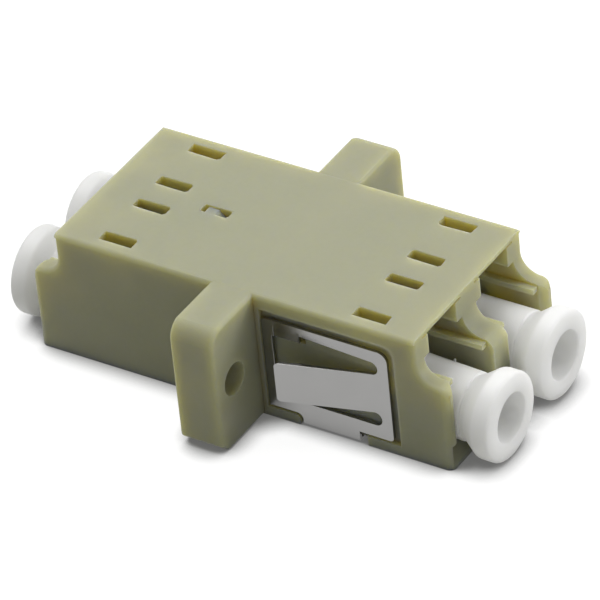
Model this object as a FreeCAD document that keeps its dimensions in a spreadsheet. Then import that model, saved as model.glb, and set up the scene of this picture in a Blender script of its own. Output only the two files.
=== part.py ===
"""Two-channel LC fibre adapter with a screw flange and a spring panel clip.

Frame, millimetres: the origin is the middle of the body's underside, +X runs along the fibres
towards the end with the panel clip, +Y runs across the two channels and +Z is up.  The optical
plane, where the two ferrule tips meet, is X = 0.  "Near" is the +X end and "far" the -X end.
"""

import FreeCAD, Part
import math
import os
import re

import Sketcher

Vector = FreeCAD.Vector
Rotation = FreeCAD.Rotation

# Driving dimensions in millimetres.  Each becomes a cell of the document's sheet.
DIMENSIONS = {
    # moulded body
    "body_length": 30.4,
    "body_width": 13.0,
    "body_height": 9.23,
    "roof_length": 26.2,
    "roof_thickness": 0.85,
    "lip_height": 6.14,
    "scoop_radius": 1.36,
    "lip_drop": 0.7,
    "lip_radius": 0.8,
    "top_edge_radius": 0.35,
    "end_edge_radius": 0.5,
    # flange with its two screw ears
    "flange_thickness": 3.14,
    "flange_width": 22.6,
    "flange_height": 9.2,
    "flange_corner_across": 0.95,
    "flange_corner_down": 1.05,
    "flange_corner_radius": 1.3,
    "flange_foot_corner": 0.7,
    "flange_edge_radius": 0.25,
    "screw_spacing": 18.5,
    "screw_hole_radius": 1.1,
    "screw_height": 4.63,
    # ports, the same for both ends
    "port_pitch": 6.25,
    "port_size": 4.55,
    "axis_height": 3.3,
    "bulkhead_thickness": 1.6,
    "ledge_underside": 5.6,
    "ledge_top": 5.98,
    "ledge_reach": 0.5,
    "latch_gap": 3.3,
    "rib_underside": 7.35,
    "mouth_chamfer": 0.45,
    "floor_chamfer": 0.75,
    "relief_width": 0.85,
    "relief_top": 1.75,
    "relief_depth": 0.9,
    "ledge_setback": 0.5,
    "roof_chamfer": 0.55,
    # windows in the roof
    "near_window_start": 8.2,
    "far_window_start": 7.9,
    "window_length": 2.4,
    "window_width": 0.86,
    "window_inner_offset": 1.32,
    "window_outer_offset": 5.15,
    "snap_start": 4.1,
    "snap_length": 2.02,
    "snap_width": 0.74,
    "hook_gap": 0.3,
    "hook_flat": 1.0,
    "hook_sink": 0.08,
    # alignment sleeves and their tubes
    "tube_radius": 1.5,
    "tube_reach": 4.6,
    "seat_radius": 0.88,
    "seat_reach": 3.45,
    "ferrule_entry_radius": 0.78,
    "entry_chamfer": 0.25,
    "sleeve_length": 6.8,
    "sleeve_radius": 0.82,
    "sleeve_bore_radius": 0.625,
    "sleeve_slit": 0.28,
    "assembly_gap": 0.05,
    # recess and channel for the panel clip
    "recess_start": 1.9,
    "recess_end": 11.5,
    "recess_underside": 0.72,
    "recess_top": 8.2,
    "recess_depth": 0.4,
    "recess_corner_radius": 0.75,
    "channel_start": 4.2,
    "channel_end": 9.08,
    "channel_depth": 0.35,
    "notch_depth": 0.3,
    # panel clip
    "sheet_thickness": 0.25,
    "clip_span": 12.94,
    "clip_underside": 0.02,
    "bend_radius": 0.32,
    "plate_start": 1.98,
    "plate_end": 11.02,
    "plate_underside": 0.88,
    "plate_top": 7.6,
    "plate_corner_radius": 0.7,
    "plate_foot_radius": 0.3,
    "strap_start": 4.42,
    "strap_end": 8.52,
    "cutout_start": 2.7,
    "cutout_underside": 1.82,
    "cutout_top_start": 6.98,
    "cutout_top_end": 6.7,
    "tongue_underside": 2.8,
    "tongue_top": 5.75,
    "tongue_tip": 3.72,
    "tongue_root": 9.8,
    "tongue_lift": 1.62,
    "tab_start": 2.85,
    "tab_end": 4.7,
    "tab_underside": 6.42,
    "tab_root": 7.3,
    "tab_lean": 0.3,
    # dust plugs
    "plug_start": 2.1,
    "plug_radius": 2.18,
    "plug_bore_radius": 1.54,
    "plug_bore_end": 5.4,
    "plug_recess_start": 6.6,
    "plug_recess_radius": 1.56,
    "plug_nose_chamfer": 0.3,
    "neck_start": 15.62,
    "neck_end": 15.95,
    "neck_radius": 2.43,
    "flare_end": 16.55,
    "flare_radius": 2.74,
    "rim_start": 17.0,
    "rim_start_radius": 2.93,
    "rim_radius": 3.0,
    "rim_rounding": 0.35,
    "rim_dish": 0.2,
    "plug_end": 17.85,
}

NEAR, FAR = 1, -1
LEFT, RIGHT = 1, -1


def make_sheet(doc):
    """Put every driving dimension in a cell of its own, with its name as the alias."""
    sheet = doc.addObject("Spreadsheet::Sheet", "dims")
    for row, (name, size) in enumerate(DIMENSIONS.items(), start=1):
        sheet.set(f"A{row}", name)
        sheet.set(f"B{row}", str(size))
        sheet.setAlias(f"B{row}", name)
    doc.recompute()
    return sheet


def bound(expression):
    """Turn an expression in plain aliases into one that names the sheet."""
    words = "|".join(sorted(DIMENSIONS, key=len, reverse=True))
    return re.sub(rf"\b({words})\b", r"dims.\1", expression)


def bind(item, name, expression):
    """Bind one property of a document object to the sheet."""
    item.setExpression(name, bound(expression))


def size_of(item, expression):
    """Number that an expression in sheet aliases gives just now."""
    return float(item.evalExpression(bound(expression)))


# ---------------------------------------------------------------- sketches


def new_sketch(body, name, role, offset="0"):
    """Sketch on one of the body's own origin planes, moved along the plane's normal."""
    plane = next(item for item in body.Origin.OriginFeatures if item.Role == role)
    sketch = body.newObject("Sketcher::SketchObject", name)
    sketch.AttachmentSupport = (plane, "")
    sketch.MapMode = "FlatFace"
    if offset != "0":
        bind(sketch, "AttachmentOffset.Base.z", offset)
    return sketch


def pin_point(sketch, curve, place, across, up):
    """Hold one point of a curve at two expressions, measured from the sketch's origin."""
    point = Vector(size_of(sketch, across), size_of(sketch, up))
    for kind, expression, length in (("DistanceX", across, point.x), ("DistanceY", up, point.y)):
        index = sketch.addConstraint(Sketcher.Constraint(kind, -1, 1, curve, place, length))
        bind(sketch, f"Constraints[{index}]", expression)


def arc_through(start, end, radius):
    """Arc from start to end; a positive radius bulges to the right of the way, and less than
    half a circle.  The arc comes back with its two ends in Sketcher's anticlockwise order."""
    chord = end - start
    middle = (start + end) * 0.5
    rise = math.sqrt(max(radius * radius - chord.Length * chord.Length / 4, 0.0))
    left = Vector(-chord.y, chord.x, 0).normalize()
    centre = middle + left * math.copysign(rise, radius)
    ends = (start, end) if radius > 0 else (end, start)
    angles = [math.atan2(point.y - centre.y, point.x - centre.x) for point in ends]
    return Part.ArcOfCircle(Part.Circle(centre, Vector(0, 0, 1), abs(radius)), *angles)


def draw_outline(sketch, corners):
    """Closed loop through corners (across, up) or (across, up, radius), all as expressions.

    The third entry makes the edge that leads to the next corner an arc of that radius, which
    bulges to the right of the way when positive and to the left when negative.
    """
    points = [Vector(size_of(sketch, corner[0]), size_of(sketch, corner[1])) for corner in corners]
    for index, corner in enumerate(corners):
        start, end = points[index], points[(index + 1) % len(points)]
        if len(corner) == 2:
            curve = sketch.addGeometry(Part.LineSegment(start, end), False)
            pin_point(sketch, curve, 1, corner[0], corner[1])
        else:
            radius = size_of(sketch, corner[2])
            curve = sketch.addGeometry(arc_through(start, end, radius), False)
            pin_point(sketch, curve, 1 if radius > 0 else 2, corner[0], corner[1])
            held = sketch.addConstraint(Sketcher.Constraint("Radius", curve, abs(radius)))
            bind(sketch, f"Constraints[{held}]", f"abs({corner[2]})")
    join_ends(sketch, sketch.GeometryCount - len(corners), corners)


def join_ends(sketch, first, corners):
    """Make each edge of a loop end where the next one starts."""
    count = len(corners)
    turned = [len(corner) == 3 and size_of(sketch, corner[2]) < 0 for corner in corners]
    for index in range(count):
        following = (index + 1) % count
        end = 1 if turned[index] else 2
        start = 2 if turned[following] else 1
        join = Sketcher.Constraint("Coincident", first + index, end, first + following, start)
        sketch.addConstraint(join)


def draw_rectangle(sketch, left, low, right, high):
    """Closed rectangle between two corners given as expressions."""
    draw_outline(sketch, [(left, low), (right, low), (right, high), (left, high)])


def draw_circle(sketch, across, up, radius):
    """Circle held by its centre and its radius."""
    centre = Vector(size_of(sketch, across), size_of(sketch, up))
    length = size_of(sketch, radius)
    curve = sketch.addGeometry(Part.Circle(centre, Vector(0, 0, 1), length), False)
    pin_point(sketch, curve, 3, across, up)
    index = sketch.addConstraint(Sketcher.Constraint("Radius", curve, length))
    bind(sketch, f"Constraints[{index}]", radius)


# ---------------------------------------------------------------- features


def extrude(body, kind, name, sketch, length, backwards=False, both_ways=False):
    """Pad or Pocket of a sketch; the body's volume has to change the way the kind says."""
    body.Document.recompute()
    before = body.Shape.Volume if body.Tip else 0.0
    feature = body.newObject(f"PartDesign::{kind}", name)
    feature.Profile = sketch
    bind(feature, "Length", length)
    feature.Reversed = backwards
    if both_ways:
        feature.SideType = "Symmetric"
    body.Document.recompute()
    grown = body.Shape.Volume - before
    if grown * (1 if kind == "Pad" else -1) <= 0:
        raise RuntimeError(f"{name} changes the volume by {grown:.4f} mm3")
    return feature


def pad(body, name, sketch, length, **ways):
    return extrude(body, "Pad", name, sketch, length, **ways)


def pocket(body, name, sketch, length, **ways):
    return extrude(body, "Pocket", name, sketch, length, **ways)


def dress(body, kind, name, size, wanted):
    """Fillet or Chamfer of the edges of the body's tip that satisfy a test."""
    base = body.Tip
    names = [f"Edge{number}" for number, edge in enumerate(base.Shape.Edges, start=1) if wanted(edge)]
    if not names:
        raise RuntimeError(f"{name} finds no edge")
    feature = body.newObject(f"PartDesign::{kind}", name)
    feature.Base = (base, names)
    bind(feature, "Radius" if kind == "Fillet" else "Size", size)
    body.Document.recompute()
    if "Invalid" in feature.State:
        raise RuntimeError(f"{name} fails on {len(names)} edges")
    return feature


def near(value, target, slack=0.01):
    return abs(value - target) < slack


def is_ring(edge, radius):
    """Whether an edge is a whole circle of this radius."""
    return edge.isClosed() and near(edge.Length, 2 * math.pi * radius)


def is_run(edge, axis):
    """Whether an edge is a straight run along one axis: 0, 1 or 2."""
    if len(edge.Vertexes) != 2:
        return False
    step = edge.Vertexes[1].Point - edge.Vertexes[0].Point
    return all(near(step[index], 0) for index in range(3) if index != axis)


def reach(edge, axis):
    """Lowest and highest distance from the origin's plane, whatever the side, along one axis."""
    spots = [abs(vertex.Point[axis]) for vertex in edge.Vertexes]
    return min(spots), max(spots)


def lies_at(edge, axis, distance):
    """Whether all of an edge's ends are this far from the origin's plane, on either side."""
    return near(min(reach(edge, axis)), distance) and near(max(reach(edge, axis)), distance)


# ---------------------------------------------------------------- housing


def scooped_outline():
    """Side view of the body: flat foot, and at each end a lip, a hollow curve and the roof's edge."""
    end = "body_length / 2"
    roof = "roof_length / 2"
    turn = f"( {roof} + scoop_radius )"
    return [
        (f"-{end}", "0"),
        (end, "0"),
        (end, "lip_height - lip_drop", "lip_radius"),
        (f"{end} - lip_drop", "lip_height"),
        (turn, "lip_height", "-scoop_radius"),
        (roof, "lip_height + scoop_radius"),
        (roof, "body_height"),
        (f"-{roof}", "body_height"),
        (f"-{roof}", "lip_height + scoop_radius", "-scoop_radius"),
        (f"-{turn}", "lip_height"),
        (f"-( {end} - lip_drop )", "lip_height", "lip_radius"),
        (f"-{end}", "lip_height - lip_drop"),
    ]


def draw_stepped_section(sketch, centre, half_width, gap="0"):
    """Section of a plug passage, or of what fills it with a gap all round: wide below, narrowed
    by a guide ledge on each side, and wide again above, where the plug's latch arm runs."""
    wide = f"( {half_width} - {gap} )"
    slim = f"( {half_width} - ledge_reach - {gap} )"
    right_side = [
        (wide, f"axis_height - port_size / 2 + {gap}"),
        (wide, f"ledge_underside - {gap}"),
        (slim, f"ledge_underside - {gap}"),
        (slim, f"ledge_top + {gap}"),
        (wide, f"ledge_top + {gap}"),
        (wide, f"body_height - roof_thickness - {gap}"),
    ]
    corners = [(f"{centre} + {across}", up) for across, up in right_side]
    corners += [(f"{centre} - {across}", up) for across, up in right_side[::-1]]
    draw_outline(sketch, corners)


def make_shell(body):
    """Outside of the moulding: the body with scooped ends and the flange across its middle."""
    side = new_sketch(body, "side_outline", "XZ_Plane")
    draw_outline(side, scooped_outline())
    pad(body, "body_block", side, "body_width", both_ways=True)
    half_width = size_of(side, "body_width / 2")
    height = size_of(side, "body_height")
    dress(body, "Fillet", "top_edges", "top_edge_radius",
          lambda edge: is_run(edge, 0) and lies_at(edge, 2, height) and lies_at(edge, 1, half_width))
    foot_end = size_of(side, "body_length / 2")
    dress(body, "Fillet", "end_edges", "end_edge_radius",
          lambda edge: is_run(edge, 2) and lies_at(edge, 0, foot_end) and lies_at(edge, 1, half_width))
    make_flange(body)


def make_flange(body):
    """Flange: a plate across the body with rounded upper corners and feet cut at a slant."""
    sketch = new_sketch(body, "flange_outline", "YZ_Plane", "-flange_thickness / 2")
    side = "flange_width / 2"
    top_end = f"( {side} - flange_corner_across )"
    foot_end = f"( {side} - flange_foot_corner )"
    shoulder = "flange_height - flange_corner_down"
    draw_outline(sketch, [
        (foot_end, "0"),
        (side, "flange_foot_corner"),
        (side, shoulder, "flange_corner_radius"),
        (top_end, "flange_height"),
        (f"-{top_end}", "flange_height", "flange_corner_radius"),
        (f"-{side}", shoulder),
        (f"-{side}", "flange_foot_corner"),
        (f"-{foot_end}", "0"),
    ])
    pad(body, "flange", sketch, "flange_thickness")
    face = size_of(sketch, "flange_thickness / 2")
    ear = size_of(sketch, "body_width / 2") + 0.1
    dress(body, "Fillet", "flange_edges", "flange_edge_radius",
          lambda edge: lies_at(edge, 0, face) and max(reach(edge, 1)) > ear)
    holes = new_sketch(body, "screw_holes", "YZ_Plane", "flange_thickness / 2")
    for side in (LEFT, RIGHT):
        draw_circle(holes, f"{side} * screw_spacing / 2", "screw_height", "screw_hole_radius")
    pocket(body, "screw_bores", holes, "flange_thickness")


def make_ports(body):
    """Near ports, each a passage of its own, and the far cavity that takes the sleeve carrier."""
    sections = new_sketch(body, "near_passages", "YZ_Plane", "bulkhead_thickness")
    for side in (LEFT, RIGHT):
        draw_stepped_section(sections, f"{side} * port_pitch / 2", "port_size / 2")
    pocket(body, "near_ports", sections, "body_length", backwards=True)
    cavity = new_sketch(body, "far_passage", "YZ_Plane")
    draw_stepped_section(cavity, "0", "( port_pitch + port_size ) / 2")
    pocket(body, "far_cavity", cavity, "body_length")
    for direction in (NEAR, FAR):
        open_mouths(body, direction)
    make_mouth_bevels(body)
    for direction in (NEAR, FAR):
        make_latch_ribs(body, direction)


def open_mouths(body, direction):
    """Cut the guide ledges back from one end, widen the foot of its outer walls and slope its floor."""
    end = f"{direction} * body_length / 2"
    inwards = direction == FAR
    ledges = new_sketch(body, f"ledge_ends_{direction + 1}", "YZ_Plane", end)
    reliefs = new_sketch(body, f"foot_reliefs_{direction + 1}", "YZ_Plane", end)
    floor = "axis_height - port_size / 2"
    for side in (LEFT, RIGHT):
        wall = f"{side} * ( port_pitch + port_size ) / 2"
        inner = f"{side} * ( port_pitch - port_size ) / 2"
        far_wall = f"{wall} + {side} * relief_width"
        draw_rectangle(ledges, inner, "ledge_underside", wall, "ledge_top")
        draw_rectangle(reliefs, wall, floor, far_wall, "relief_top")
    pocket(body, f"ledge_cuts_{direction + 1}", ledges, "ledge_setback", backwards=inwards)
    pocket(body, f"foot_cuts_{direction + 1}", reliefs, "relief_depth", backwards=inwards)
    for side in (LEFT, RIGHT):
        ramp = new_sketch(body, f"floor_ramp_{direction + 1}_{side + 1}", "XZ_Plane",
                          f"{-side} * ( port_pitch - port_size ) / 2")
        draw_outline(ramp, [
            (f"{end} - {direction} * floor_chamfer", floor),
            (f"{end} + {direction} * assembly_gap", f"{floor} - floor_chamfer - assembly_gap"),
            (f"{end} + {direction} * assembly_gap", floor),
        ])
        pocket(body, f"floor_bevel_{direction + 1}_{side + 1}", ramp, "port_size + relief_width",
               backwards=side == RIGHT)


def make_mouth_bevels(body):
    """Lead-in along the walls of the four mouths and under the two edges of the roof."""
    end = size_of(body, "body_length / 2")
    wall = size_of(body, "( port_pitch + port_size ) / 2") + 0.1
    relief = size_of(body, "relief_top") - 0.1
    ledge = size_of(body, "ledge_underside") + 0.1
    dress(body, "Chamfer", "wall_bevels", "mouth_chamfer",
          lambda edge: is_run(edge, 2) and lies_at(edge, 0, end) and max(reach(edge, 1)) < wall
          and relief < min(reach(edge, 2)) and max(reach(edge, 2)) < ledge)
    roof_end = size_of(body, "roof_length / 2")
    ceiling = size_of(body, "body_height - roof_thickness")
    dress(body, "Chamfer", "roof_bevels", "roof_chamfer",
          lambda edge: is_run(edge, 1) and lies_at(edge, 0, roof_end) and lies_at(edge, 2, ceiling))


def window_start(direction):
    """Name of the distance at which the roof windows of one end start."""
    return "near_window_start" if direction == NEAR else "far_window_start"


def make_latch_ribs(body, direction):
    """Ribs under the roof at one end.  A plug's latch shoulders snap up behind their back faces."""
    back = f"{window_start(direction)} + window_length"
    sketch = new_sketch(body, f"rib_section_{direction + 1}", "YZ_Plane", f"{direction} * ( {back} )")
    for channel in (LEFT, RIGHT):
        for side in (LEFT, RIGHT):
            centre = f"{channel} * port_pitch / 2"
            gap_side = f"{centre} + {side} * latch_gap / 2"
            wall_side = f"{centre} + {side} * port_size / 2"
            left, right = (gap_side, wall_side) if side == LEFT else (wall_side, gap_side)
            draw_rectangle(sketch, left, "rib_underside", right, "body_height - roof_thickness / 2")
    pad(body, f"latch_ribs_{direction + 1}", sketch, f"roof_length / 2 - ( {back} )",
        backwards=direction == FAR)


def make_windows(body):
    """Roof windows over the latch shoulders, four at each end, and the snap window of the carrier."""
    sketch = new_sketch(body, "window_outlines", "XY_Plane", "body_height")
    for direction in (NEAR, FAR):
        for side in (LEFT, RIGHT):
            for offset in ("window_inner_offset", "window_outer_offset"):
                inner = window_start(direction)
                outer = f"{inner} + window_length"
                ends = (inner, outer) if direction == NEAR else (f"-( {outer} )", f"-{inner}")
                centre = f"{side} * {offset}"
                draw_rectangle(sketch, ends[0], f"{centre} - window_width / 2",
                               ends[1], f"{centre} + window_width / 2")
    pocket(body, "roof_windows", sketch, "body_height - rib_underside")
    snap = new_sketch(body, "snap_outline", "XY_Plane", "body_height")
    draw_rectangle(snap, "-snap_start - snap_length", "-snap_width / 2",
                   "-snap_start", "snap_width / 2")
    pocket(body, "snap_window", snap, "roof_thickness + assembly_gap")


def add_tubes(body, direction, root):
    """Two sleeve tubes on a wall at distance root, with stepped bores that trap the sleeves."""
    tubes = new_sketch(body, "tube_circles", "YZ_Plane", f"{direction} * {root}")
    seats = new_sketch(body, "seat_circles", "YZ_Plane")
    entries = new_sketch(body, "entry_circles", "YZ_Plane")
    for side in (LEFT, RIGHT):
        centre = (f"{side} * port_pitch / 2", "axis_height")
        draw_circle(tubes, *centre, "tube_radius")
        draw_circle(seats, *centre, "seat_radius")
        draw_circle(entries, *centre, "ferrule_entry_radius")
    pad(body, "tubes", tubes, f"tube_reach - {root}", backwards=direction == FAR)
    pocket(body, "sleeve_seats", seats, "seat_reach", backwards=direction == NEAR)
    pocket(body, "ferrule_entries", entries, "tube_reach", backwards=direction == NEAR)
    tip = direction * size_of(body, "tube_reach")
    entry = size_of(body, "ferrule_entry_radius")
    dress(body, "Chamfer", "entry_bevels", "entry_chamfer",
          lambda edge: is_ring(edge, entry) and near(edge.CenterOfMass.x, tip))


def make_clip_seat(body):
    """Recess of the clip's side plates, the channel of its strap and the notches of its tabs."""
    for side in (LEFT, RIGHT):
        word = "left" if side == LEFT else "right"
        face = f"{-side} * body_width / 2"
        recess = new_sketch(body, f"recess_{word}", "XZ_Plane", face)
        draw_outline(recess, [
            ("recess_start", "recess_underside"),
            ("recess_end", "recess_underside"),
            ("recess_end", "recess_top - recess_corner_radius", "recess_corner_radius"),
            ("recess_end - recess_corner_radius", "recess_top"),
            ("recess_start", "recess_top"),
        ])
        pocket(body, f"clip_recess_{word}", recess, "recess_depth", backwards=side == LEFT)
        notch = new_sketch(body, f"notch_{word}", "XZ_Plane", face)
        draw_rectangle(notch, "tab_start - 0.2", "tab_underside - 0.2", "tab_end + 0.2", "tab_root + 0.2")
        pocket(body, f"tab_notch_{word}", notch, "recess_depth + notch_depth", backwards=side == LEFT)
    channel = new_sketch(body, "channel_outline", "YZ_Plane", "channel_start")
    inner = "body_width / 2 - recess_depth"
    outer = "body_width / 2 + 1"
    draw_outline(channel, [
        (f"-( {outer} )", "-1"),
        (outer, "-1"),
        (outer, "recess_underside + 0.2"),
        (inner, "recess_underside + 0.2"),
        (inner, "channel_depth"),
        (f"-( {inner} )", "channel_depth"),
        (f"-( {inner} )", "recess_underside + 0.2"),
        (f"-( {outer} )", "recess_underside + 0.2"),
    ])
    pocket(body, "strap_channel", channel, "channel_end - channel_start", backwards=True)


def make_housing(doc):
    body = doc.addObject("PartDesign::Body", "housing")
    make_shell(body)
    make_ports(body)
    make_windows(body)
    add_tubes(body, NEAR, "bulkhead_thickness")
    make_clip_seat(body)
    return body


# ---------------------------------------------------------------- sleeve carrier and sleeves


def make_carrier(doc):
    """Insert pushed in from the far end: plate, divider between the far ports, tubes and hook."""
    body = doc.addObject("PartDesign::Body", "sleeve_carrier")
    plate = new_sketch(body, "plate_section", "YZ_Plane")
    draw_stepped_section(plate, "0", "( port_pitch + port_size ) / 2", "assembly_gap")
    pad(body, "plate", plate, "bulkhead_thickness", backwards=True)
    outline = new_sketch(body, "divider_outline", "XZ_Plane")
    draw_outline(outline, divider_outline())
    pad(body, "divider", outline, "port_pitch - port_size", both_ways=True)
    ledges = new_sketch(body, "ledge_section", "YZ_Plane", "-bulkhead_thickness / 2")
    reach = "( port_pitch - port_size ) / 2 + ledge_reach"
    draw_rectangle(ledges, f"-( {reach} )", "ledge_underside", reach, "ledge_top")
    run = "( body_length - bulkhead_thickness ) / 2 - ledge_setback"
    pad(body, "guide_ledges", ledges, run, backwards=True)
    hook = new_sketch(body, "hook_outline", "XZ_Plane")
    root = "body_height - roof_thickness - 2 * assembly_gap"
    draw_outline(hook, [
        ("-snap_start - snap_length + hook_gap", root),
        ("-snap_start - assembly_gap", root),
        ("-snap_start - hook_flat", "body_height - hook_sink"),
        ("-snap_start - snap_length + hook_gap", "body_height - hook_sink"),
    ])
    pad(body, "snap_hook", hook, "snap_width - 2 * assembly_gap", both_ways=True)
    add_tubes(body, FAR, "bulkhead_thickness")
    return body


def divider_outline():
    """Side view of the divider, which ends like the body's own walls."""
    end = "( body_length / 2 - assembly_gap )"
    roof = "roof_length / 2"
    floor = "axis_height - port_size / 2 + assembly_gap"
    ceiling = "body_height - roof_thickness - assembly_gap"
    return [
        (f"-{end}", floor),
        ("-bulkhead_thickness / 2", floor),
        ("-bulkhead_thickness / 2", ceiling),
        (f"-{roof}", ceiling),
        (f"-{roof}", "lip_height + scoop_radius", "-scoop_radius"),
        (f"-( {roof} + scoop_radius )", "lip_height"),
        (f"-( {end} - lip_drop )", "lip_height", "lip_radius"),
        (f"-{end}", "lip_height - lip_drop"),
    ]


def make_sleeve(doc, side):
    """Alignment sleeve: a thin tube slit along its whole length, so that it grips two ferrules."""
    body = doc.addObject("PartDesign::Body", f"split_sleeve_{'left' if side == LEFT else 'right'}")
    ring = new_sketch(body, "ring", "YZ_Plane", "-sleeve_length / 2")
    draw_circle(ring, "0", "0", "sleeve_radius")
    draw_circle(ring, "0", "0", "sleeve_bore_radius")
    pad(body, "tube", ring, "sleeve_length")
    slit = new_sketch(body, "slit_outline", "YZ_Plane", "-sleeve_length / 2")
    draw_rectangle(slit, "-sleeve_slit / 2", "0", "sleeve_slit / 2", "sleeve_radius + 1")
    pocket(body, "slit", slit, "sleeve_length", backwards=True)
    bind(body, "Placement.Base.y", f"{side} * port_pitch / 2")
    bind(body, "Placement.Base.z", "axis_height")
    return body


# ---------------------------------------------------------------- panel clip


def make_panel_clip(doc):
    """One folded sheet: a strap under the body joins two side plates, each with a sprung tongue
    that holds a panel against the flange and a tab that catches in the moulding."""
    body = doc.addObject("PartDesign::Body", "panel_clip")
    strap = new_sketch(body, "strap_section", "YZ_Plane", "strap_start")
    draw_outline(strap, strap_section())
    pad(body, "strap", strap, "strap_end - strap_start")
    features = add_side_plate(body)
    mirrored = body.newObject("PartDesign::Mirrored", "other_side")
    mirrored.Originals = features
    plane = next(item for item in body.Origin.OriginFeatures if item.Role == "XZ_Plane")
    mirrored.MirrorPlane = (plane, [""])
    body.Tip = mirrored
    doc.recompute()
    return body


def strap_section():
    """The sheet seen along the fibres: up one side, round two bends and up the other side."""
    outer, inner = "( clip_span / 2 )", "( clip_span / 2 - sheet_thickness )"
    low, high = "clip_underside", "( clip_underside + sheet_thickness )"
    top = "plate_underside + 0.5"
    inner_bend = "( bend_radius - sheet_thickness )"
    return [
        (f"-{outer}", top),
        (f"-{outer}", f"{low} + bend_radius", "bend_radius"),
        (f"-{outer} + bend_radius", low),
        (f"{outer} - bend_radius", low, "bend_radius"),
        (outer, f"{low} + bend_radius"),
        (outer, top),
        (inner, top),
        (inner, f"{high} + {inner_bend}", f"-{inner_bend}"),
        (f"{inner} - {inner_bend}", high),
        (f"-{inner} + {inner_bend}", high, f"-{inner_bend}"),
        (f"-{inner}", f"{high} + {inner_bend}"),
        (f"-{inner}", top),
    ]


def add_side_plate(body):
    """Side plate on the -Y side with its cut-out, tongue and tab; gives back the features."""
    face = "clip_span / 2"
    plate = new_sketch(body, "plate_outline", "XZ_Plane", face)
    draw_outline(plate, plate_outline())
    plate_pad = pad(body, "side_plate", plate, "sheet_thickness", backwards=True)
    cutout = new_sketch(body, "cutout_outline", "XZ_Plane", face)
    draw_outline(cutout, cutout_outline())
    cutout_pocket = pocket(body, "cutout", cutout, "sheet_thickness")
    slots = new_sketch(body, "slot_end_circles", "XZ_Plane", face)
    draw_slot_ends(slots)
    slot_pocket = pocket(body, "slot_ends", slots, "sheet_thickness")
    tab_hole = new_sketch(body, "tab_hole_outline", "XZ_Plane", face)
    draw_rectangle(tab_hole, "tab_start", "tab_underside - 0.1", "tab_end", "tab_root")
    tab_pocket = pocket(body, "tab_hole", tab_hole, "sheet_thickness")
    tongue = new_sketch(body, "tongue_section", "XY_Plane", "tongue_underside")
    draw_outline(tongue, tongue_section())
    tongue_pad = pad(body, "tongue", tongue, "tongue_top - tongue_underside")
    tab = new_sketch(body, "tab_section", "YZ_Plane", "tab_start")
    draw_outline(tab, tab_section())
    tab_pad = pad(body, "tab", tab, "tab_end - tab_start")
    return [plate_pad, cutout_pocket, slot_pocket, tab_pocket, tongue_pad, tab_pad]


def plate_outline():
    """Side plate in its own plane: rounded upper corners and small rounded feet."""
    start, end = "plate_start", "plate_end"
    return [
        (start, "plate_underside"),
        (f"{end} - plate_foot_radius", "plate_underside", "plate_foot_radius"),
        (end, "plate_underside + plate_foot_radius"),
        (end, "plate_top - plate_corner_radius", "plate_corner_radius"),
        (f"{end} - plate_corner_radius", "plate_top"),
        (f"{start} + plate_foot_radius", "plate_top", "plate_foot_radius"),
        (start, "plate_top - plate_foot_radius"),
    ]


def cutout_outline():
    """What is cut from the plate round the tongue, without the round ends beside its root."""
    return [
        ("cutout_start", "cutout_underside"),
        ("tongue_root", "cutout_underside"),
        ("tongue_root", "tongue_underside"),
        ("tongue_root", "tongue_top"),
        ("tongue_root", "cutout_top_end"),
        ("tab_end", "cutout_top_start"),
        ("tab_end", "tab_underside"),
        ("cutout_start", "tab_underside"),
    ]


def draw_slot_ends(sketch):
    """Round ends of the two slots beside the tongue's root."""
    for low, high in (("cutout_underside", "tongue_underside"), ("tongue_top", "cutout_top_end")):
        draw_circle(sketch, "tongue_root", f"( {low} + {high} ) / 2", f"( {high} - {low} ) / 2")


def tongue_section():
    """The tongue seen from above: it springs away from the plate as a straight strip."""
    outer, inner = "-clip_span / 2", "-clip_span / 2 + sheet_thickness"
    root = "tongue_root"
    return [
        ("tongue_tip", f"{outer} - tongue_lift"),
        (root, outer),
        (root, inner),
        ("tongue_tip", f"{inner} - tongue_lift"),
    ]


def tab_section():
    """The tab seen along the fibres: it leans into the moulding from its upper end."""
    outer, inner = "-clip_span / 2", "-clip_span / 2 + sheet_thickness"
    return [
        (f"{outer} + tab_lean", "tab_underside"),
        (f"{inner} + tab_lean", "tab_underside"),
        (inner, "tab_root"),
        (outer, "tab_root"),
    ]


# ---------------------------------------------------------------- dust plugs


def plug_profile():
    """Half section of a dust plug from its nose to its knob, (distance along, radius)."""
    return [
        ("plug_start", "plug_bore_radius"),
        ("plug_bore_end", "plug_bore_radius"),
        ("plug_bore_end", "0"),
        ("plug_recess_start", "0"),
        ("plug_recess_start", "plug_recess_radius"),
        ("plug_end - rim_dish", "plug_recess_radius"),
        ("plug_end", "rim_radius - 2 * rim_rounding"),
        ("plug_end - rim_rounding / 2", "rim_radius - rim_rounding / 2"),
        ("plug_end - rim_rounding * 1.5", "rim_radius"),
        ("rim_start", "rim_start_radius"),
        ("flare_end", "flare_radius"),
        ("neck_end", "neck_radius"),
        ("neck_start", "plug_radius"),
        ("plug_start + plug_nose_chamfer", "plug_radius"),
        ("plug_start", "plug_radius - plug_nose_chamfer"),
    ]


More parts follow.
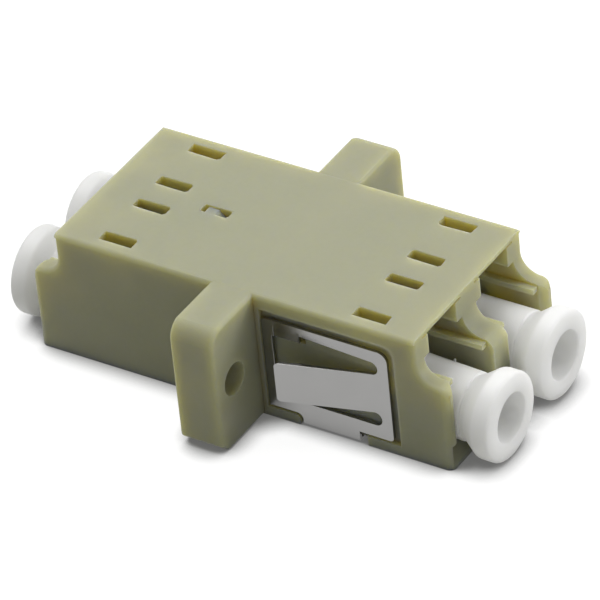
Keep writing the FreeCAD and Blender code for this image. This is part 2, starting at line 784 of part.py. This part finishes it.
def make_dust_plug(doc, direction, side):
    """Soft plug: its hollow shaft slips over a sleeve tube, its flared knob stays outside."""
    place = f"{'near' if direction == NEAR else 'far'}_{'left' if side == LEFT else 'right'}"
    body = doc.addObject("PartDesign::Body", f"dust_plug_{place}")
    profile = new_sketch(body, "half_section", "XZ_Plane")
    draw_outline(profile, plug_profile())
    turned = body.newObject("PartDesign::Revolution", "turned")
    turned.Profile = profile
    axis = next(item for item in body.Origin.OriginFeatures if item.Role == "X_Axis")
    turned.ReferenceAxis = (axis, [""])
    turned.Angle = 360
    doc.recompute()
    if direction == FAR:
        body.Placement = FreeCAD.Placement(Vector(), Rotation(Vector(0, 0, 1), 180))
    bind(body, "Placement.Base.y", f"{side} * port_pitch / 2")
    bind(body, "Placement.Base.z", "axis_height")
    return body


# ---------------------------------------------------------------- document


def check(doc, bodies):
    """Stop if any object failed or any sub-part isn't one valid solid."""
    doc.recompute()
    for item in doc.Objects:
        if {"Invalid", "Error"} & set(item.State):
            raise RuntimeError(f"{item.Label} is {item.State}")
    for body in bodies:
        shape = body.Shape
        if shape.isNull() or not shape.isValid() or len(shape.Solids) != 1:
            raise RuntimeError(f"{body.Label} isn't one valid solid")
        print(f"{body.Label}: {shape.Volume:.2f} mm3, {len(shape.Faces)} faces")


def main():
    doc = FreeCAD.newDocument("fibre_adapter")
    make_sheet(doc)
    bodies = [make_housing(doc), make_carrier(doc)]
    bodies += [make_sleeve(doc, side) for side in (LEFT, RIGHT)]
    bodies.append(make_panel_clip(doc))
    bodies += [make_dust_plug(doc, direction, side) for direction in (NEAR, FAR) for side in (LEFT, RIGHT)]
    check(doc, bodies)
    os.makedirs("parts", exist_ok=True)
    for body in bodies:
        body.Shape.exportStep(f"parts/{body.Label}.step")


main()
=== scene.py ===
import math

import bmesh
import bpy
from mathutils import Matrix, Vector


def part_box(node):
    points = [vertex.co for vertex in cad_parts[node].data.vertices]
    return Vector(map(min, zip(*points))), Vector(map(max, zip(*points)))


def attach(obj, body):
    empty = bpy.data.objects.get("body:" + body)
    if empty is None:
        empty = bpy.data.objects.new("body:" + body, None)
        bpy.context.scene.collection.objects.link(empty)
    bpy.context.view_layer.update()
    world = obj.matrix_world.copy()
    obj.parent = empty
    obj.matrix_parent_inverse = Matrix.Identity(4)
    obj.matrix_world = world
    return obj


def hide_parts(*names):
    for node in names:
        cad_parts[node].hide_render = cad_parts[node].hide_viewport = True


# Looks of a two-channel fibre adapter: an olive-beige moulded housing with its insert, a sprung
# steel panel clip and four white dust plugs.  Lengths are metres in the row frame: X runs along
# the fibres towards the clip's end, Y across the two channels and Z up from the underside.

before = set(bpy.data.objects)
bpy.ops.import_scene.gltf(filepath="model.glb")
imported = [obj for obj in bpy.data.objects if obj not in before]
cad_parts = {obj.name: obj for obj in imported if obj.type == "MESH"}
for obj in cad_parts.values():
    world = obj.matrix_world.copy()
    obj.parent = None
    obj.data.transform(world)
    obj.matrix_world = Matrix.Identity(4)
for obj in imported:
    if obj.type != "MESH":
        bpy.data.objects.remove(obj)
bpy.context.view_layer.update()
MM = 0.001


# ---------------------------------------------------------------- node materials


class Nodes:
    """A node tree under construction.  A value in it is a number, a colour or a node's output."""

    def __init__(self, tree):
        self.tree = tree

    def add(self, kind, **settings):
        node = self.tree.nodes.new(kind)
        for name, value in settings.items():
            setattr(node, name, value)
        return node

    def put(self, socket, value):
        """Link a node's output to a socket, or give the socket a number or a colour."""
        if isinstance(value, bpy.types.NodeSocket):
            self.tree.links.new(value, socket)
        elif isinstance(value, tuple):
            socket.default_value = (*value, 1)
        else:
            socket.default_value = value

    def result(self, kind, *values, **settings):
        """First output of a new node that has these values in its first sockets."""
        node = self.add(kind, **settings)
        for socket, value in zip(node.inputs, values):
            self.put(socket, value)
        return node.outputs[0]

    def ramp(self, value, start, end, low=0, high=1):
        """The stretch of a value from start to end, spread over low to high and cut off there."""
        return self.result("ShaderNodeMapRange", value, start, end, low, high)

    def blend(self, factor, first, second):
        """Colour between two."""
        node = self.add("ShaderNodeMix", data_type="RGBA")
        self.put(node.inputs["Factor"], factor)
        sockets = [socket for socket in node.inputs if socket.type == "RGBA"]
        for socket, colour in zip(sockets, (first, second)):
            self.put(socket, colour)
        return next(socket for socket in node.outputs if socket.type == "RGBA")

    def openness(self, reach, closed, clear, low=0, high=1, **settings):
        """The open share of what is within reach, from closed to clear, spread over low to high."""
        node = self.add("ShaderNodeAmbientOcclusion", **settings)
        node.inputs["Distance"].default_value = reach
        return self.ramp(node.outputs["AO"], closed, clear, low, high)

    def seen(self):
        """1 for camera, glossy and transmission rays and 0 for all others."""
        path = self.add("ShaderNodeLightPath")
        total = path.outputs["Is Camera Ray"]
        for name in ("Is Glossy Ray", "Is Transmission Ray"):
            total = self.result("ShaderNodeMath", total, path.outputs[name], operation="MAXIMUM")
        return total


class Finish(Nodes):
    """A piece's material under construction: one Principled shader fed by Object coordinates."""

    def __init__(self, name):
        self.material = bpy.data.materials.new(name)
        self.material.use_nodes = True
        super().__init__(self.material.node_tree)
        self.shader = self.tree.nodes["Principled BSDF"]
        self.place = self.add("ShaderNodeTexCoord").outputs["Object"]

    def set(self, **sockets):
        """Uniform values on the shader's own sockets, spaces in their names as underscores."""
        for name, value in sockets.items():
            self.shader.inputs[name.replace("_", " ")].default_value = value

    def noise(self, size, detail=3.0, stretch=(1, 1, 1)):
        """Noise whose blobs are about this size, in metres, drawn out along the axes."""
        mapping = self.add("ShaderNodeMapping")
        mapping.inputs["Scale"].default_value = [1 / factor for factor in stretch]
        self.put(mapping.inputs["Vector"], self.place)
        texture = self.add("ShaderNodeTexNoise")
        texture.inputs["Scale"].default_value = 1 / size
        texture.inputs["Detail"].default_value = detail
        self.put(texture.inputs["Vector"], mapping.outputs["Vector"])
        return texture.outputs["Fac"]

    def spread(self, noise, low=0, high=1):
        """The middle of a noise's range, where most of it lies, spread over low to high."""
        return self.ramp(noise, 0.3, 0.7, low, high)

    def colour(self, source):
        self.put(self.shader.inputs["Base Color"], source)

    def roughness(self, source):
        self.put(self.shader.inputs["Roughness"], source)

    def relief(self, heights):
        """Bump from (height, depth in metres) pairs laid over each other."""
        normal = None
        for height, depth in heights:
            bump = self.add("ShaderNodeBump")
            bump.inputs["Strength"].default_value = 1.0
            bump.inputs["Distance"].default_value = depth
            self.put(bump.inputs["Height"], height)
            if normal is not None:
                self.put(bump.inputs["Normal"], normal)
            normal = bump.outputs["Normal"]
        self.put(self.shader.inputs["Normal"], normal)


def moulded_plastic():
    """Satin olive-beige thermoplastic: flow clouds, fine mould texture, and painted golden shade in
    its corners and crevices.
    """
    olive = (0.38, 0.38, 0.255)
    deeper_olive = (0.358, 0.362, 0.246)
    pale_speck = (0.393, 0.393, 0.277)
    painted_crevice_shade = (0.38, 0.33, 0.15)
    finish = Finish("moulded_olive_plastic")
    clouds = finish.spread(finish.noise(6 * MM, detail=2.0, stretch=(1.6, 1, 1)))
    specks = finish.spread(finish.noise(0.35 * MM, detail=4.0), high=0.35)
    skin = finish.blend(specks, finish.blend(clouds, olive, deeper_olive), pale_speck)
    # Painted shade: the colour turns golden brown where the part's own walls close in, in corners,
    # windows and gaps.
    openness = finish.openness(1.5 * MM, closed=0.3, clear=0.8, samples=6, only_local=True)
    finish.colour(finish.blend(openness, painted_crevice_shade, skin))
    finish.roughness(finish.spread(finish.noise(1.5 * MM), 0.46, 0.58))
    finish.relief([
        (finish.noise(2.2 * MM, detail=2.0), 0.012 * MM),
        (finish.noise(0.12 * MM, detail=3.0), 0.004 * MM),
    ])
    finish.set(
        Subsurface_Weight=1.0,
        Subsurface_Radius=(1.0, 0.88, 0.3),
        Subsurface_Scale=3.6 * MM,
        Specular_IOR_Level=0.3,
        IOR=1.5,
    )
    return finish.material


def soft_white_plastic():
    """Unfilled white polyethylene of the dust plugs: milky, waxy and slightly uneven."""
    milk = (0.985, 0.985, 0.98)
    thinner_milk = (0.96, 0.96, 0.955)
    finish = Finish("milky_polyethylene")
    clouds = finish.spread(finish.noise(2.5 * MM, detail=2.0))
    finish.colour(finish.blend(clouds, milk, thinner_milk))
    finish.roughness(finish.spread(finish.noise(0.8 * MM), 0.38, 0.5))
    finish.relief([
        (finish.noise(1.1 * MM, detail=2.0), 0.01 * MM),
        (finish.noise(0.1 * MM, detail=2.0), 0.002 * MM),
    ])
    finish.set(
        Subsurface_Weight=1.0,
        Subsurface_Radius=(1.0, 1.0, 0.95),
        Subsurface_Scale=1.4 * MM,
        Specular_IOR_Level=0.4,
    )
    return finish.material


def rolled_steel():
    """Stainless spring sheet with the fine grain of rolling along the fibres."""
    steel = (0.295, 0.293, 0.288)
    duller_steel = (0.28, 0.279, 0.274)
    bright_grain = (0.315, 0.313, 0.307)
    finish = Finish("rolled_spring_steel")
    grain = finish.noise(0.05 * MM, detail=3.0, stretch=(24, 1, 1))
    clouds = finish.spread(finish.noise(2.5 * MM, detail=2.0))
    tone = finish.blend(clouds, steel, duller_steel)
    finish.colour(finish.blend(finish.spread(grain, high=0.3), tone, bright_grain))
    finish.roughness(finish.spread(grain, 0.2, 0.25))
    finish.relief([(grain, 0.00012 * MM)])
    finish.set(Metallic=1.0)
    return finish.material


def polished_ceramic():
    """Zirconia of the split alignment sleeves."""
    ivory = (0.83, 0.825, 0.8)
    duller_ivory = (0.78, 0.775, 0.75)
    finish = Finish("polished_zirconia")
    clouds = finish.spread(finish.noise(0.9 * MM))
    finish.colour(finish.blend(clouds, ivory, duller_ivory))
    finish.roughness(finish.spread(finish.noise(0.2 * MM), 0.14, 0.24))
    finish.relief([(finish.noise(0.06 * MM), 0.0006 * MM)])
    finish.set(Subsurface_Weight=0.15, Subsurface_Scale=0.4 * MM, IOR=2.1)
    return finish.material


# ---------------------------------------------------------------- making pieces

FLAT_JOIN = math.radians(0.5)   # faces that turn less than this are one flat face
EDGE_TURN = math.radians(28)    # faces that turn more than this, outwards, meet in an edge
CORNER_TURN = math.radians(60)  # and more than this, either way, in a corner
SMOOTH_TURN = math.radians(38)  # faces that turn less than this are shaded as one
ALONG_SHARE = 0.99              # least share of its length that an edge along an axis covers on it


def settled_normals(data):
    """Normals that keep big faces flat, so that the narrow bevels between them take the turn."""
    around = [[] for _ in data.vertices]
    for face in data.polygons:
        for index in face.vertices:
            around[index].append((face.normal.copy(), face.area))
    least = math.cos(SMOOTH_TURN)
    normals = []
    for face in data.polygons:
        for index in face.vertices:
            total = sum((normal * area for normal, area in around[index]
                         if normal.dot(face.normal) > least), Vector())
            normals.append(total.normalized() if total.length else face.normal.copy())
    data.normals_split_custom_set(normals)


def add_piece(name, mesh, material, body, slot, *nodes):
    """Object from a finished bmesh, at the origin, that rides on a body and stands for CAD nodes."""
    data = bpy.data.meshes.new(name)
    mesh.to_mesh(data)
    mesh.free()
    data.materials.append(material)
    piece = bpy.data.objects.new(name, data)
    bpy.context.scene.collection.objects.link(piece)
    for face in data.polygons:
        face.use_smooth = True
    settled_normals(data)
    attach(piece, body)
    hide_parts(*nodes)


def joined(node):
    """The mesh of a CAD node with its doubles merged and its coplanar triangles joined."""
    mesh = bmesh.new()
    mesh.from_mesh(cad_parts[node].data)
    bmesh.ops.remove_doubles(mesh, verts=mesh.verts, dist=0.002 * MM)
    bmesh.ops.dissolve_limit(mesh, angle_limit=FLAT_JOIN, verts=mesh.verts, edges=mesh.edges)
    return mesh


def region(slack=0.03 * MM, **spans):
    """Test of a place: each coordinate named lies, either side of the middle, in (least, most)."""

    def holds(place):
        return all(least - slack < abs(getattr(place, axis)) < most + slack
                   for axis, (least, most) in spans.items())
    return holds


def soften(mesh, where=region(), *, radius, segments=2, shortest=0.12 * MM):
    """Round the outward edges of a region, apart from those under the shortest length."""
    edges = [edge for edge in mesh.edges if edge.calc_length() > shortest
             and edge.calc_face_angle_signed() > EDGE_TURN
             and all(where(end.co) for end in edge.verts)]
    bmesh.ops.bevel(mesh, geom=edges, affect="EDGES", offset=radius, segments=segments,
                    profile=0.5, material=-1, clamp_overlap=False)


def round_corners(mesh, where, *, radius, along="z"):
    """Round the corners of a region, outward or inward, whose edges run along an axis."""
    axis = "xyz".index(along)
    edges = []
    for edge in mesh.edges:
        way = edge.verts[1].co - edge.verts[0].co
        if (abs(way[axis]) > ALONG_SHARE * way.length and all(where(end.co) for end in edge.verts)
                and abs(edge.calc_face_angle_signed(0)) > CORNER_TURN):
            edges.append(edge)
    bmesh.ops.bevel(mesh, geom=edges, affect="EDGES", offset=radius, segments=4,
                    profile=0.5, material=-1, clamp_overlap=False)


# ---------------------------------------------------------------- housing and insert


def rounded_housing():
    """Housing with rounded window corners and end walls and every other edge just broken."""
    end, _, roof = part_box("housing")[1]
    side = 6.5 * MM             # of the body, inside the flange
    channel_start = 4.2 * MM    # of the strap's channel, at the foot of the clip's recess
    recess_foot = 0.72 * MM
    windows = region(x=(0, end - 3.2 * MM), y=(0, side - 0.7 * MM), z=(roof - 1.6 * MM, roof))
    ledge_corners = region(x=(channel_start, channel_start), z=(recess_foot, recess_foot))
    end_walls = region(x=(end - 2.3 * MM, end), y=(side - 0.6 * MM, side),
                       z=(roof - 3.9 * MM, roof - 0.25 * MM))
    mesh = joined("housing")
    round_corners(mesh, windows, radius=0.16 * MM)
    round_corners(mesh, ledge_corners, radius=0.3 * MM, along="y")
    soften(mesh, end_walls, radius=0.3 * MM, segments=3, shortest=0.02 * MM)
    soften(mesh, radius=0.06 * MM)
    return mesh


def rounded_insert():
    """Insert with its edges broken as the mould leaves them."""
    mesh = joined("sleeve_carrier")
    soften(mesh, radius=0.05 * MM)
    return mesh


# ---------------------------------------------------------------- clip

SHEET = 0.25 * MM
PLATE_FACE = 6.47 * MM      # outer face of each side plate, from the middle
PLATE_FOOT = 0.88 * MM
STRAP_START = 4.42 * MM
TAB_START, TAB_END = 2.85 * MM, 4.7 * MM
TAB_FOOT, TAB_ROOT = 6.42 * MM, 7.3 * MM
TAB_LEAN = 0.3 * MM         # of the solid tabs, into their notches at the foot
TAB_RETURN = 0.85           # share of that lean by which the tabs are set back out


def set_tabs_back(mesh):
    """Stand the tabs almost flush with their plates again."""
    tabs = region(x=(TAB_START, TAB_END), z=(TAB_FOOT, TAB_ROOT))
    for vert in mesh.verts:
        lean = TAB_LEAN * (TAB_ROOT - vert.co.z) / (TAB_ROOT - TAB_FOOT)
        upright = abs(vert.co.y) + lean
        on_sheet = any(abs(upright - face) < 0.01 * MM for face in (PLATE_FACE, PLATE_FACE - SHEET))
        if tabs(vert.co) and on_sheet:
            vert.co.y += math.copysign(TAB_RETURN * lean, vert.co.y)


def stamped_clip():
    """Clip with rounded tongue ends, filleted strap and its sheared edges broken."""
    low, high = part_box("panel_clip")
    tongue_ends = region(x=(low.x, low.x + 1.8 * MM), y=(PLATE_FACE + 0.06 * MM, high.y))
    strap_corners = region(x=(STRAP_START, STRAP_START), z=(PLATE_FOOT, PLATE_FOOT))
    mesh = joined("panel_clip")
    set_tabs_back(mesh)
    round_corners(mesh, tongue_ends, radius=0.28 * MM, along="y")
    round_corners(mesh, strap_corners, radius=0.42 * MM, along="y")
    soften(mesh, radius=0.03 * MM, shortest=0.06 * MM)
    return mesh


# ---------------------------------------------------------------- dust plugs

# Half section of a plug: (along the port, out from its axis, ease of the corner), millimetres.
SHAFT_BORE = [(5.4, 0.0, 0), (5.4, 1.54, 0.1), (2.1, 1.54, 0.08)]
SHAFT = [(2.1, 1.92, 0.08), (2.4, 2.18, 0.1), (15.2, 2.22, 0.03), (15.27, 2.12, 0.03)]
KNOB = [(15.66, 2.27, 0.04), (16.6, 2.94, 0.16), (17.7, 2.95, 0.24), (17.84, 2.3, 0.3)]
KNOB_RECESS = [(17.8, 1.64, 0.12), (6.6, 1.45, 0.4), (6.6, 0.0, 0)]

# How far each soft knob stands off its place, in millimetres: (inwards, along Y, up).
SAGS = {
    "near_left": (0, 0, -0.12),
    "near_right": (0, -0.36, -0.35),
    "far_left": (0.25, 0, -0.2),
    "far_right": (0.25, 0, -0.28),
}
SAG_START = 12.0            # along the port, from where a plug's rings are off its axis
SAG_REACH = 3.4             # from there to where the sag has its full size
NIB_TURNS = {"near_right": math.radians(53)}    # where a moulding nib shows, up from +Y


def eased(corners, steps=5):
    """Points through (along, out, ease) corners, each turned off from its ease distance away."""
    points = []
    for index, (along, out, ease) in enumerate(corners):
        here = Vector((along, 0, out))
        if not ease:
            points.append(here)
            continue
        ways = [(Vector((there[0], 0, there[1])) - here).normalized() * ease
                for there in (corners[index - 1], corners[index + 1])]
        for step in range(steps + 1):
            share = step / steps
            points.append(here + ways[0] * (1 - share) ** 2 + ways[1] * share ** 2)
    return points


def turned(points):
    """Surface spun from a half section, in millimetres, that starts and ends on the X axis."""
    mesh = bmesh.new()
    ring = [mesh.verts.new(point * MM) for point in points]
    for first, second in zip(ring, ring[1:]):
        mesh.edges.new((first, second))
    bmesh.ops.spin(mesh, geom=mesh.verts[:] + mesh.edges[:], cent=(0, 0, 0), axis=(1, 0, 0),
                   angle=2 * math.pi, steps=72, use_merge=True)
    bmesh.ops.remove_doubles(mesh, verts=mesh.verts, dist=0.001 * MM)
    bmesh.ops.recalc_face_normals(mesh, faces=mesh.faces)
    return mesh


def add_nib(mesh, turn):
    """Blunt cone on the shaft, where its mould was filled."""
    along, out = 13.05 * MM, 1.94 * MM
    outwards = Matrix.Rotation(turn, 4, "X") @ Matrix.Rotation(-math.pi / 2, 4, "X")
    place = Matrix.Translation((along, 0, 0)) @ outwards @ Matrix.Translation((0, 0, out))
    bmesh.ops.create_cone(mesh, cap_ends=True, segments=12, radius1=0.14 * MM,
                          radius2=0.06 * MM, depth=0.3 * MM, matrix=place)


def turned_plug(node, sag, nib_turn=None):
    """Dust plug with a tubular shaft, a crease, a cone and a rounded knob with a deep recess.

    It is spun pointing along +X, and a half turn about Z points it along -X at the far end.  The
    shaft has no rings between its two ends, so it leans evenly to where the knob sags.
    """
    low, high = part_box(node)
    middle = (low + high) / 2
    direction = math.copysign(1, middle.x)
    mesh = turned(eased(SHAFT_BORE + SHAFT + KNOB + KNOB_RECESS))
    if nib_turn is not None:
        add_nib(mesh, nib_turn)
    bmesh.ops.scale(mesh, vec=(direction, direction, 1), verts=mesh.verts)
    inwards, across, up = (step * MM for step in sag)
    bmesh.ops.translate(mesh, vec=(-direction * inwards, middle.y, middle.z), verts=mesh.verts)
    for vert in mesh.verts:
        share = min(max((abs(vert.co.x) / MM - SAG_START) / SAG_REACH, 0.0), 1.0)
        vert.co += Vector((0, across, up)) * share * share * (3 - 2 * share)
    return mesh


def dress_adapter():
    """Every piece in its finish, on the body that carries it."""
    plastic = moulded_plastic()
    steel = rolled_steel()
    white = soft_white_plastic()
    ceramic = polished_ceramic()
    add_piece("moulded_housing", rounded_housing(), plastic,
              "adapter", "moulding", "housing")
    add_piece("far_insert", rounded_insert(), plastic,
              "adapter", "carrier_moulding", "sleeve_carrier")
    add_piece("sprung_clip", stamped_clip(), steel,
              "adapter", "spring_steel", "panel_clip")
    for side in ("left", "right"):
        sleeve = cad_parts[f"split_sleeve_{side}"]
        sleeve.data.materials.clear()
        sleeve.data.materials.append(ceramic)
    for place, sag in SAGS.items():
        node = f"dust_plug_{place}"
        add_piece(f"white_plug_{place}", turned_plug(node, sag, NIB_TURNS.get(place)), white,
                  f"{place}_plug", "plug_plastic", node)


# ---------------------------------------------------------------- floor, light and camera


def floor_paint():
    """White to look at with a soft shade beside the part, dull as a source of bounced light.

    In a mirror image of the floor the shade is raised to a power, which leaves less of it.
    """
    bounce_grey = (0.52, 0.52, 0.5)
    lit_grey = (0.25, 0.25, 0.25)
    image_power = 0.4
    material = bpy.data.materials.new("pale_floor")
    material.use_nodes = True
    nodes = Nodes(material.node_tree)
    nodes.tree.nodes.clear()
    shade = nodes.openness(2.2 * MM, closed=0.4, clear=0.85, low=0.1, high=0.9)
    mirrored = nodes.add("ShaderNodeLightPath").outputs["Is Glossy Ray"]
    power = nodes.result("ShaderNodeMath", mirrored, image_power - 1, 1, operation="MULTIPLY_ADD")
    strength = nodes.result("ShaderNodeMath", shade, power, operation="POWER")
    glow = nodes.result("ShaderNodeEmission", (1, 1, 1), strength)
    lit = nodes.result("ShaderNodeBsdfDiffuse", lit_grey)
    looked_at = nodes.result("ShaderNodeAddShader", lit, glow)
    bounce = nodes.result("ShaderNodeBsdfDiffuse", bounce_grey)
    surface = nodes.result("ShaderNodeMixShader", nodes.seen(), bounce, looked_at)
    nodes.put(nodes.add("ShaderNodeOutputMaterial").inputs["Surface"], surface)
    return material


def pale_floor():
    """Plain floor at the part's foot, just under it."""
    mesh = bmesh.new()
    bmesh.ops.create_grid(mesh, x_segments=1, y_segments=1, size=2.0)
    data = bpy.data.meshes.new("floor")
    mesh.to_mesh(data)
    mesh.free()
    data.materials.append(floor_paint())
    floor = bpy.data.objects.new("floor", data)
    floor.location.z = -0.02 * MM
    bpy.context.scene.collection.objects.link(floor)


def studio_world():
    """Dim even sky for the shaded sides, white wherever it is looked at or mirrored."""
    dim_sky = (0.3, 0.3, 0.285)
    white = (1, 1, 1)
    world = bpy.data.worlds.new("studio")
    world.use_nodes = True
    bpy.context.scene.world = world
    nodes = Nodes(world.node_tree)
    background = nodes.tree.nodes["Background"]
    nodes.put(background.inputs["Color"], nodes.blend(nodes.seen(), dim_sky, white))
    background.inputs["Strength"].default_value = 1.0


def soft_lamp(name, place, size, power):
    """Square soft box at a place, turned to the part."""
    lamp = bpy.data.lights.new(name, "AREA")
    lamp.size = size
    lamp.energy = power
    box = bpy.data.objects.new(name, lamp)
    bpy.context.scene.collection.objects.link(box)
    box.location = place
    box.rotation_mode = "QUATERNION"
    box.rotation_quaternion = Vector(place).to_track_quat("Z", "Y")


def aim_camera():
    """Long lens from the right of the part's front, well above it and slightly tipped."""
    azimuth, elevation, roll = math.radians(35.25), math.radians(36.48), math.radians(-6.06)
    right, up, back = 0.11 * MM, 3.12 * MM, 395.9 * MM
    turn = (Matrix.Rotation(azimuth, 4, "Z") @ Matrix.Rotation(math.pi / 2 - elevation, 4, "X")
            @ Matrix.Rotation(roll, 4, "Z"))
    lens = bpy.data.cameras.new("view")
    lens.sensor_width = 36
    lens.lens = 377.31
    lens.clip_start = 0.02
    lens.clip_end = 10
    camera = bpy.data.objects.new("view", lens)
    bpy.context.scene.collection.objects.link(camera)
    camera.matrix_world = turn @ Matrix.Translation((right, up, back))
    bpy.context.scene.camera = camera


def light_studio():
    """Plain pale studio with two soft boxes, and the view."""
    bpy.context.scene.view_settings.view_transform = "Standard"
    pale_floor()
    studio_world()
    soft_lamp("overhead_box", place=(-0.12, 0.10, 0.42), size=0.35, power=1.37)
    soft_lamp("end_box", place=(0.34, 0.2, 0.18), size=0.2, power=0.78)
    aim_camera()


dress_adapter()
light_studio()
